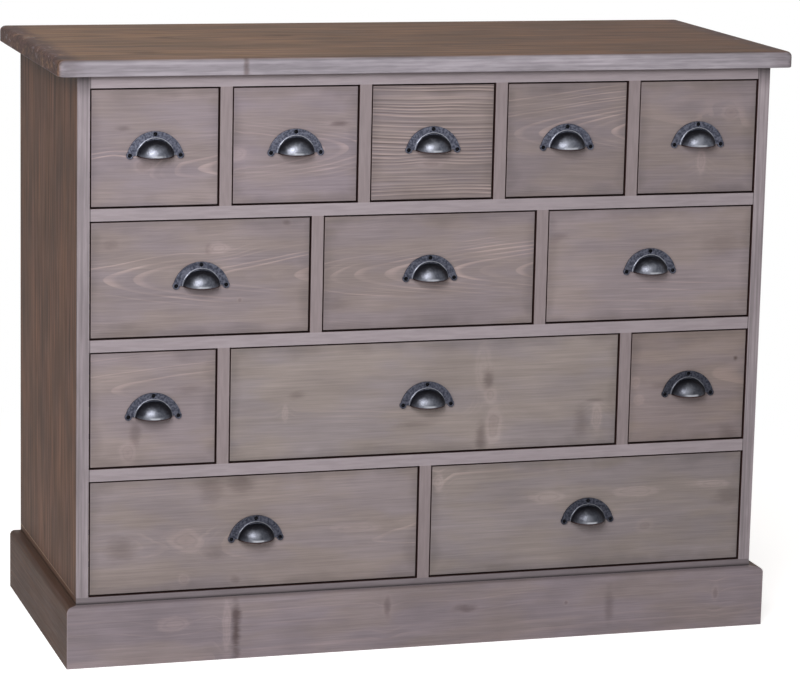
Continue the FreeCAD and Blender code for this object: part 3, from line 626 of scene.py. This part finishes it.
# The top: thick pine boards glued edge to edge, rounded all round, browner and darker than the
# rest: partly their own tone, partly painted shade, with more painted shade towards the right.
# Its planed front edge is grey, with painted shade along it, its ends are dark end grain, and
# screws from below hold it.
dress_in_pine("top_board", "top, level", 13.9, (0.236, 0.136, 0.082),
              late=(0.320, 0.206, 0.135), rings=0.6, dark=1.0, heart=(0.05, -0.05),
              taper=0.02, width=0.010, wander=0.04, plenty=0.25, streaks=0.5, clouds=0.20,
              front=(0.395, 0.360, 0.395), front_reach=0.0085, brush=(0.3, 0.09),
              front_fall=(0.78, 0.95), ends=((0.080, 0.040, 0.036), 0.05),
              fall=(0.55, 0.45, 0.39),
              knots=((-0.18, 0.06, 0.014, 2.5, 0.8, 1.0, 0.3),
                     (0.33, 0.11, 0.010, 2.0, 0.8, 1.0, 0.3),
                     (0.06, -0.12, 0.008, 1.6, 0.8, 1.0, 0.3),
                     (-0.321, -0.268, 0.006, 0.8, 2.0, 0.5, 0.0),
                     (-0.47, -0.18, 0.020, 1.6, 1.0, 0.7, 0.0),
                     (-0.02, -0.02, 0.012, 3.5, 0.7, 0.8, 0.3),
                     (0.17, -0.05, 0.008, 2.0, 0.8, 0.8, 0.2),
                     (-0.30, -0.09, 0.009, 2.0, 0.8, 0.8, 0.2)))

# The drawer fronts: one pine board each, stained all over the face and bare behind, so each has a
# figure of its own. Their rims are a dark brown, partly the stain and partly painted shade of the
# gaps. The lapped dovetails of the box don't show on the face.
# Each row is the front's stain, as a share of the mauve one, and its figure.
FRONTS = {
    1: ((1.0, 1.0, 1.03), dict(
        seed=1.1, heart=(-0.035, -0.03), taper=0.08, width=0.004, rings=0.9, zone=(-0.026, 0.022),
        knots=((-0.017, -0.028, 0.011, 1.4, 0.9, 0.3, 0.6),
               (-0.052, 0.032, 0.007, 1.8, 0.7, 0.4, 0.0)))),
    2: ((1.0, 1.0, 1.05), dict(
        seed=2.6, heart=(-0.010, -0.028), taper=-0.085, width=0.0045, rings=1.0, plenty=0.1,
        zone=(-0.005, 0.045),
        knots=((0.074, 0.033, 0.008, 2.2, 0.7, 0.7, 0.2),
               (-0.098, -0.011, 0.011, 1.4, 0.9, 0.0, 0.8)))),
    3: ((0.93,), dict(
        seed=3.3, heart=(0.32, -0.08), taper=0.012, width=0.0062, wander=0.020, rings=0.9,
        dark=1.0, plenty=0.55, zone=(0.0, 0.3), streaks=0.14,
        knots=((0.0, -0.036, 0.008, 2.2, 0.8, 0.3, 0.4),))),
    4: ((0.89,), dict(
        seed=4.7, heart=(0.013, -0.028), taper=0.09, width=0.0042, rings=0.85, plenty=0.15,
        zone=(0.040, 0.048))),
    5: ((0.95,), dict(
        seed=5.2, heart=(0.05, -0.12), taper=0.03, width=0.006, rings=0.55, zone=(0.045, 0.03),
        knots=((0.009, -0.042, 0.010, 0.7, 2.2, 0.15, 0.8),
               (0.059, 0.041, 0.011, 1.5, 1.1, 0.2, 0.6)))),
    6: ((0.96,), dict(
        seed=6.4, heart=(0.0, -0.022), taper=0.09, width=0.0042, rings=0.8, plenty=0.15,
        zone=(0.005, 0.04),
        knots=((0.013, 0.047, 0.007, 1.0, 1.2, 0.5, 0.0),
               (0.030, 0.047, 0.010, 1.7, 0.8, 0.0, 0.7),
               (0.142, 0.087, 0.007, 1.2, 1.0, 0.5, 0.2),
               (-0.149, 0.059, 0.014, 1.3, 1.0, 0.3, 0.2),
               (0.065, -0.039, 0.004, 1.0, 1.0, 0.5, 0.4),
               (0.193, -0.093, 0.018, 0.9, 1.4, 0.35, 0.0)))),
    7: ((0.96,), dict(
        seed=7.1, heart=(-0.004, -0.024), taper=0.08, width=0.0042, rings=0.85, plenty=0.15,
        zone=(0.0, 0.04),
        knots=((-0.16, -0.05, 0.015, 1.6, 0.8, 0.25, 0.0),))),
    8: ((1.1,), dict(
        seed=8.8, heart=(0.06, -0.05), taper=0.04, width=0.006, rings=0.4, zone=(-0.05, 0.03),
        knots=((-0.162, 0.050, 0.014, 1.4, 0.7, 0.35, 0.0),
               (0.130, 0.030, 0.022, 1.5, 1.0, 0.25, 0.0)))),
    9: ((1.03,), dict(
        seed=9.9, heart=(0.03, -0.03), taper=0.06, width=0.0036, rings=0.4, plenty=0.3,
        zone=(0.055, 0.035),
        knots=((-0.030, -0.040, 0.016, 0.6, 1.9, 0.45, 0.0),
               (-0.041, -0.072, 0.013, 0.9, 1.2, 0.15, 0.6),
               (0.060, 0.030, 0.013, 2.4, 0.6, 0.3, 0.0)))),
    10: ((1.04, 1.07, 1.04), dict(
        seed=10.3, heart=(0.01, -0.06), taper=0.02, width=0.006, rings=0.5, zone=(-0.028, 0.03),
        knots=((0.098, 0.045, 0.017, 0.7, 2.2, 0.0, 0.4),
               (0.108, 0.022, 0.014, 0.7, 1.7, 0.6, 0.0),
               (0.112, -0.002, 0.012, 0.9, 1.1, 0.15, 0.75),
               (0.118, -0.052, 0.016, 0.8, 1.6, 0.3, 0.75),
               (0.097, -0.075, 0.018, 0.6, 1.8, 0.6, 0.0),
               (-0.010, -0.046, 0.010, 4.0, 0.5, 0.3, 0.0),
               (0.302, -0.046, 0.012, 0.7, 1.9, 0.1, 0.75),
               (0.275, -0.055, 0.018, 0.8, 1.5, 0.4, 0.0),
               (0.300, -0.018, 0.007, 2.4, 0.5, 0.5, 0.0),
               (-0.223, 0.012, 0.010, 1.5, 0.8, 0.4, 0.0),
               (-0.243, -0.017, 0.007, 0.7, 1.7, 0.0, 0.6)))),
    11: ((0.97, 0.95, 0.91), dict(
        seed=11.8, heart=(0.02, -0.06), taper=0.05, width=0.006, rings=0.4, zone=(0.0, 0.03),
        knots=((0.086, 0.045, 0.0042, 1.0, 1.0, 1.0, 0.0),
               (-0.094, 0.008, 0.008, 0.9, 1.2, 0.0, 0.6),
               (-0.087, -0.020, 0.008, 1.0, 1.0, 0.0, 0.5),
               (0.077, -0.085, 0.018, 1.0, 0.9, 0.4, 0.0),
               (-0.040, 0.002, 0.012, 3.0, 0.5, 0.3, 0.0)))),
    12: ((1.0, 1.01, 0.99), dict(
        seed=12.5, heart=(-0.015, -0.03), taper=0.05, width=0.005, rings=0.7, zone=(-0.010, 0.03),
        knots=((-0.118, -0.010, 0.017, 1.6, 0.9, 0.2, 0.9),
               (-0.066, -0.034, 0.015, 1.5, 0.8, 0.35, 0.0),
               (-0.075, 0.078, 0.026, 0.9, 1.1, 0.4, 0.0),
               (-0.024, 0.082, 0.022, 1.0, 1.0, 0.42, 0.0),
               (-0.226, -0.020, 0.022, 1.2, 1.1, 0.38, 0.0),
               (-0.121, -0.076, 0.008, 1.0, 1.0, 0.15, 0.6),
               (-0.033, -0.081, 0.010, 1.0, 0.9, 0.4, 0.2),
               (0.170, -0.004, 0.013, 3.0, 0.5, 0.0, 0.5)))),
    13: ((0.97, 1.0, 0.98), dict(
        seed=13.6, heart=(0.045, -0.03), taper=0.03, width=0.005, rings=0.6, zone=(0.06, 0.03),
        knots=((0.105, -0.028, 0.011, 1.3, 0.9, 0.25, 0.5),
               (0.086, 0.033, 0.013, 2.8, 0.55, 0.0, 0.8),
               (-0.074, 0.031, 0.013, 2.2, 0.6, 0.0, 0.8),
               (0.226, 0.040, 0.012, 2.4, 0.5, 0.0, 0.8),
               (-0.267, 0.066, 0.009, 0.8, 1.3, 0.0, 0.9),
               (0.255, 0.016, 0.018, 1.3, 0.8, 0.4, 0.0)))),
}
for number, (stain, figure) in FRONTS.items():
    dress_in_pine(f"drawer_{number:02}_front", "front, level", tone=times(MAUVE, *stain),
                  inside="rim", margin=0.2, **figure)


# The drawer boxes: bare pine sides and back, grain along the boards, and a thin ply bottom in
# grooves of the sides. The sides are dovetailed to the front and the back is housed in them.
BOX_BACK_FACE, BOX_SIDE_FACE, BOX_SLACK = 0.0220, 0.0120, 0.0004
BOX_WOOD = (0.56, 0.41, 0.24)
BOX_BOARDS = (("front, level", (0.60, 0.45, 0.29), (0.50, 0.34, 0.19), -0.5),
              ("front, level", BOX_WOOD, BARE_LATE, -0.05),
              ("side, level", BOX_WOOD, BARE_LATE, -0.04))


def box_wood(name, low, high, seed):
    """The wood of a drawer box, by place: its bottom, its back or one of its sides."""
    material, tree, skin, spot = new_skin(name)
    colours = []
    for grain, wood, late, heart in BOX_BOARDS:
        place = along_grain(tree, spot, low, high, grain)
        figure = use_group(tree, pine_figure, Vector=place, Seed=seed - heart, Heart_Offset=0.02,
                           Heart_Depth=heart, Taper=0.03, Ring_Width=0.006, Wander=0.02,
                           Swell=0.0, Zone=0.0, Reach=1.0, Plenty=0.3)
        shade = product(tree, fade(tree, figure["Cloud"], 0.28, 0.72, 0.92, 1.06),
                        fade(tree, figure["Fibre"], 0.3, 0.7, 0.94, 1.05))
        ringed = mix_colour(tree, product(tree, figure["Rings"], 0.8), wood, late)
        colours.append(mix_colour(tree, 1.0, ringed, grey(tree, shade), "MULTIPLY"))
    bottom, back, side = colours
    x, y, z = shader_node(tree, "SeparateXYZ", Vector=spot).outputs
    back_face = high.y - BOX_BACK_FACE
    side_face = (high.x - low.x) / 2 - BOX_SIDE_FACE
    from_middle = maths(tree, "ABSOLUTE", maths(tree, "SUBTRACT", x, (low.x + high.x) / 2))
    colour = mix_colour(tree, fade(tree, y, back_face - BOX_SLACK, back_face), bottom, back)
    colour = mix_colour(tree, fade(tree, from_middle, side_face - BOX_SLACK, side_face), colour,
                        side)
    tree.links.new(colour, skin.inputs["Base Color"])
    tree.links.new(fade(tree, figure["Fibre"], 0.3, 0.7, 0.6, 0.72), skin.inputs["Roughness"])
    add_relief(tree, skin, figure["Fibre"], 0.2)
    return material


for number in FRONTS:
    node = f"drawer_{number:02}_box"
    dress(node, box_wood(node + " wood", *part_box(node), number * 1.37))

# Small bare wooden parts: the pine blocks that stop the drawers, glued behind them, and the
# fluted beech dowels that are glued into the joints of the carcass.
dress_in_pine("drawer_stops", "side, level", 17.3, **BARE_WOOD)
dress_in_pine("carcass_dowels", "side, level", 19.1, (0.52, 0.36, 0.22),
              late=(0.40, 0.24, 0.13), worn=0.0)


# The screws of the top and the back panel: countersunk plain steel, turned bright with fine
# scratches. They are driven from below into the top and from behind into the shelves.
def dress_metal(tree, skin, spot, grains, marks, dull, bright, rough, smooth):
    """Metal with fine marks of use, duller and brighter by turns."""
    skin.inputs["Metallic"].default_value = 1.0
    worn = fade(tree, stretched_noise(tree, spot, grains), *marks)
    tree.links.new(mix_colour(tree, worn, dull, bright), skin.inputs["Base Color"])
    tree.links.new(fade(tree, worn, 0.0, 1.0, rough, smooth), skin.inputs["Roughness"])


steel, tree, skin, spot = new_skin("plain steel")
dress_metal(tree, skin, spot, (900, 900, 250), (0.35, 0.7), (0.24, 0.235, 0.225),
            (0.42, 0.41, 0.40), 0.45, 0.3)
dress("carcass_screws", steel)

# The cup pulls: cast iron, blackened and rubbed bright, their finish given painted highlights and
# painted shade. An arched plate with two ears, a fine bead, and a hollow quarter dome whose lip
# droops in front, all in one piece. Each is screwed on through three holes: one in each ear and
# one at the crown.
EAR_SPACING, EAR_RADIUS, CROWN_HEIGHT = 0.083, 0.0057, 0.034
PLATE_THICKNESS, PLATE_RADIUS, PLATE_DROP = 0.0035, 0.047, 0.0083
DOME_SIZE = Vector((0.0315, 0.0258, 0.0255))
DOME_WALL = 0.002
LIP_SLOPE = 4 / 26
BEAD_RADIUS, BEAD_THICKNESS, BEAD_DROP = 0.0314, 0.0021, 0.0034
HOLE_RADIUS = 0.0034
CASTING_MESH, CASTING_FACES = 0.0005, 16000
QUARTER_TURN = 1.5707963
HOLES = ((-EAR_SPACING / 2, 0), (EAR_SPACING / 2, 0), (0, CROWN_HEIGHT))


def choose(piece):
    """Makes a piece the only one that is selected."""
    bpy.ops.object.select_all(action="DESELECT")
    bpy.context.view_layer.objects.active = piece
    piece.select_set(True)


def front_disc(radius, thickness, x, z, vertices=64):
    """A round disc that stands on the wood with its face to the front."""
    bpy.ops.object.select_all(action="DESELECT")
    bpy.ops.mesh.primitive_cylinder_add(vertices=vertices, radius=radius, depth=thickness,
                                        location=(x, -thickness / 2, z),
                                        rotation=(QUARTER_TURN, 0, 0))
    return bpy.context.object


def half(piece, normal, place=(0, 0, 0)):
    """Cuts a piece along a plane through a place and keeps the side away from the normal."""
    choose(piece)
    bpy.ops.object.transform_apply(location=True, rotation=True, scale=True)
    bpy.ops.object.mode_set(mode="EDIT")
    bpy.ops.mesh.select_all(action="SELECT")
    bpy.ops.mesh.bisect(plane_co=place, plane_no=normal, use_fill=True, clear_outer=True)
    bpy.ops.object.mode_set(mode="OBJECT")
    return piece


def combine(piece, other, operation):
    """Joins another piece to this one or cuts it out, and uses it up."""
    modifier = piece.modifiers.new("fit", "BOOLEAN")
    modifier.operation = operation
    modifier.solver = "EXACT"
    modifier.object = other
    choose(piece)
    bpy.ops.object.modifier_apply(modifier="fit")
    bpy.data.objects.remove(other)


def dome_ball(shrink):
    """The ball that the dome is a part of, smaller all round by the given amount."""
    bpy.ops.object.select_all(action="DESELECT")
    bpy.ops.mesh.primitive_uv_sphere_add(segments=72, ring_count=48, radius=1,
                                         scale=DOME_SIZE - Vector((shrink,) * 3))
    bpy.ops.object.transform_apply(scale=True)
    return bpy.context.object


pull = half(front_disc(PLATE_RADIUS, PLATE_THICKNESS, 0, -PLATE_DROP, 128), (0, 0, -1))
for side in (-1, 1):
    combine(pull, front_disc(EAR_RADIUS, PLATE_THICKNESS, side * EAR_SPACING / 2, 0), "UNION")
bpy.ops.object.select_all(action="DESELECT")
bpy.ops.mesh.primitive_torus_add(location=(0, -PLATE_THICKNESS, -BEAD_DROP),
                                 rotation=(QUARTER_TURN, 0, 0), major_segments=96,
                                 minor_segments=12, major_radius=BEAD_RADIUS,
                                 minor_radius=BEAD_THICKNESS / 2)
combine(pull, half(bpy.context.object, (0, 0, -1)), "UNION")
dome = half(half(dome_ball(0), (0, 1, 0)), (0, LIP_SLOPE, -1))
combine(pull, dome, "UNION")
combine(pull, dome_ball(DOME_WALL), "DIFFERENCE")
for x, z in HOLES:
    hole = front_disc(HOLE_RADIUS, 4 * PLATE_THICKNESS, x, z, 32)
    hole.location.y = 0
    combine(pull, hole, "DIFFERENCE")

# The casting has no sharp edge: it is remade in a fine even mesh, softened and thinned out.
choose(pull)
pull.data.remesh_voxel_size = CASTING_MESH
bpy.ops.object.voxel_remesh()
soften = pull.modifiers.new("soften", "SMOOTH")
soften.factor = 0.5
soften.iterations = 3
thin_out = pull.modifiers.new("thin out", "DECIMATE")
thin_out.ratio = CASTING_FACES / (2 * len(pull.data.polygons))
for modifier in ("soften", "thin out"):
    bpy.ops.object.modifier_apply(modifier=modifier)
bpy.ops.object.shade_smooth()

# The three screws of a pull: blackened steel, with round slotted heads sunk a little below the
# face of the plate. They hold the casting to the drawer front.
SCREW_SINK, SCREW_GAP, HEAD_ROUNDING = 0.0006, 0.0002, 0.0005
SLOT_SIZE = (0.008, 0.0018, 0.0009)
SLOT_TURNS = (-1.06, 2.26, 1.28)
screws = None
for (x, z), turn in zip(HOLES, SLOT_TURNS):
    head = front_disc(HOLE_RADIUS - SCREW_GAP, PLATE_THICKNESS - SCREW_SINK, x, z, 32)
    choose(head)
    bpy.ops.object.mode_set(mode="EDIT")
    bpy.ops.mesh.select_mode(type="FACE")
    bpy.ops.mesh.select_all(action="DESELECT")
    bpy.ops.object.mode_set(mode="OBJECT")
    for face in head.data.polygons:
        face.select = abs(face.normal.z) > 0.9 and face.center.z > 0
    bpy.ops.object.mode_set(mode="EDIT")
    bpy.ops.mesh.bevel(offset=HEAD_ROUNDING, segments=2, affect="EDGES")
    bpy.ops.object.mode_set(mode="OBJECT")
    bpy.ops.object.transform_apply(location=True, rotation=True)
    bpy.ops.object.select_all(action="DESELECT")
    bpy.ops.mesh.primitive_cube_add(size=1, location=(x, SCREW_SINK - PLATE_THICKNESS, z),
                                    rotation=(0, turn, 0), scale=SLOT_SIZE)
    combine(head, bpy.context.object, "DIFFERENCE")
    if screws:
        combine(screws, head, "UNION")
    else:
        screws = head


IRON_PATCHES, IRON_MOTTLE, IRON_PITS = (95, 95, 95), (300, 300, 300), (900, 900, 900)
IRON_RELIEF = 0.0002
# Where the lower dome is made bright: partly rubbed wear, partly a painted highlight.
RUBBED_SPOT = (-0.010, -0.022, 0.008)


def make_iron_rub():
    """The finish of a pull, by place: painted shade in the crook and under the lip, a rubbed spot
    with a painted highlight, painted highlights on the bead and above the lip, and its mottle and
    pits.
    """
    tree, given, result = new_group(
        "rubbed iron", (("Vector", "Vector"), ("Seed", "Float")),
        ("Dome", "Crook", "Bead", "Polish", "Lip Glint", "Lip Line", "Mottle", "Pits"))
    place = vector_maths(tree, "ADD", given["Vector"], given["Seed"])["Vector"]
    x, y, z = shader_node(tree, "SeparateXYZ", Vector=given["Vector"]).outputs
    out = maths(tree, "MULTIPLY", y, -1.0)
    patches = maths(tree, "SUBTRACT", stretched_noise(tree, place, IRON_PATCHES, 3.0), 0.5)
    flat = shader_node(tree, "CombineXYZ", X=x, Y=0.0, Z=maths(tree, "ADD", z, BEAD_DROP))
    ring = vector_maths(tree, "LENGTH", flat.outputs[0])["Value"]
    uneven = maths(tree, "MULTIPLY_ADD", patches, 0.014, ring)
    from_spot = vector_maths(tree, "DISTANCE", given["Vector"], RUBBED_SPOT)["Value"]
    above_lip = maths(tree, "SUBTRACT", z, product(tree, y, LIP_SLOPE))
    from_middle = maths(tree, "ABSOLUTE", maths(tree, "MULTIPLY_ADD", patches, 0.02, x))
    for label, value in (
            ("Dome", product(tree, fade(tree, out, PLATE_THICKNESS, PLATE_THICKNESS + 0.0012),
                             fade(tree, ring, BEAD_RADIUS - 0.0002, BEAD_RADIUS - 0.0010))),
            ("Crook", product(tree, fade(tree, uneven, 0.013, 0.026),
                              fade(tree, z, -0.003, 0.007))),
            ("Bead", product(tree, fade(tree, ring, BEAD_RADIUS - 0.0012, BEAD_RADIUS - 0.0002),
                             fade(tree, ring, BEAD_RADIUS + 0.0016, BEAD_RADIUS + 0.0008),
                             fade(tree, out, PLATE_THICKNESS + 0.0002,
                                  PLATE_THICKNESS + 0.0006))),
            ("Polish", fade(tree, maths(tree, "MULTIPLY_ADD", patches, 0.016, from_spot),
                            0.018, 0.003)),
            ("Lip Glint", product(tree, fade(tree, above_lip, 0.0022, 0.0030),
                                  fade(tree, above_lip, 0.0068, 0.0038),
                                  fade(tree, from_middle, 0.015, 0.004))),
            ("Lip Line", fade(tree, above_lip, 0.0024, 0.0015)),
            ("Mottle", fade(tree, stretched_noise(tree, place, IRON_MOTTLE), 0.34, 0.66)),
            ("Pits", stretched_noise(tree, place, IRON_PITS))):
        tree.links.new(value, result[label])
    return tree


iron_rub = make_iron_rub()


def cast_iron(name, centre, seed, light):
    """Blackened cast iron on a pull whose ears are level with the given centre, its colours
    scaled by the painted light given for that pull.
    """
    material, tree, skin, spot = new_skin(name)
    skin.inputs["Metallic"].default_value = 1.0
    place = shader_node(tree, "Mapping", {"vector_type": "TEXTURE"}, Vector=spot,
                        Location=centre).outputs[0]
    rub = use_group(tree, iron_rub, Vector=place, Seed=seed)
    plate = mix_colour(tree, rub["Mottle"], times((0.050, 0.054, 0.076), light),
                       times((0.135, 0.140, 0.180), light))
    # Painted highlight: the bead is made lighter all round.
    plate = mix_colour(tree, product(tree, rub["Bead"], 0.8), plate,
                       times((0.36, 0.37, 0.42), light))
    dome = mix_colour(tree, rub["Mottle"], times((0.085, 0.090, 0.113), light),
                      times((0.128, 0.134, 0.160), light))
    # Partly rubbed wear and partly a painted highlight: a spot on the lower dome made brighter.
    dome = mix_colour(tree, rub["Polish"], dome, times((0.215, 0.222, 0.255), 0.3 + 0.7 * light))
    # Painted shade on the upper dome near the bead and as a dark line along the lip, and a
    # painted highlight just above the lip.
    for mask, strength, tone in (("Crook", 0.9, (0.018, 0.018, 0.023)),
                                 ("Lip Glint", 0.7, (0.50, 0.51, 0.55)),
                                 ("Lip Line", 0.85, (0.045, 0.022, 0.018))):
        dome = mix_colour(tree, product(tree, rub[mask], strength), dome, tone)
    tree.links.new(mix_colour(tree, rub["Dome"], plate, dome), skin.inputs["Base Color"])
    rough = maths(tree, "MULTIPLY_ADD", rub["Dome"], -0.06, 0.42)
    tree.links.new(maths(tree, "MULTIPLY_ADD", rub["Pits"], 0.14, rough),
                   skin.inputs["Roughness"])
    height = maths(tree, "MULTIPLY_ADD", rub["Pits"], 0.5, rub["Mottle"])
    bump = shader_node(tree, "Bump", Strength=0.5, Distance=IRON_RELIEF, Height=height)
    tree.links.new(bump.outputs[0], skin.inputs["Normal"])
    return material


black_screw, tree, skin, spot = new_skin("blackened screw")
dress_metal(tree, skin, spot, (700, 700, 700), (0.45, 0.75), (0.006, 0.006, 0.008),
            (0.03, 0.03, 0.035), 0.6, 0.4)

# Painted light: how light each pull is painted, as the light falls off down the chest, so those
# of the lower rows are darker. The casting and its screws are copied to each drawer front, where
# they replace the plainer pull of the frame.
IRON_LIGHT = (1.0, 1.0, 0.95, 0.95, 0.9, 0.85, 0.78, 0.78, 0.75, 0.7, 0.42, 0.55, 0.45)
for number, light in enumerate(IRON_LIGHT, start=1):
    drawer = f"drawer_{number:02}"
    low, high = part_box(drawer + "_pull")
    centre = Vector(((low.x + high.x) / 2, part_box(drawer + "_front")[0].y, low.z + EAR_RADIUS))
    for pattern, suffix, slot, material in (
            (pull, "_cup", "cast_iron",
             cast_iron(drawer + " iron", centre, number * 0.137, light)),
            (screws, "_cup_screws", "steel_screws", black_screw)):
        piece = pattern.copy()
        piece.data = pattern.data.copy()
        piece.name = drawer + suffix
        scene.collection.objects.link(piece)
        piece.data.transform(Matrix.Translation(centre))
        piece.data.materials.clear()
        piece.data.materials.append(material)
        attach(piece, drawer)
        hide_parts(drawer + "_pull")
bpy.data.objects.remove(pull)
bpy.data.objects.remove(screws)

low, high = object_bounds()
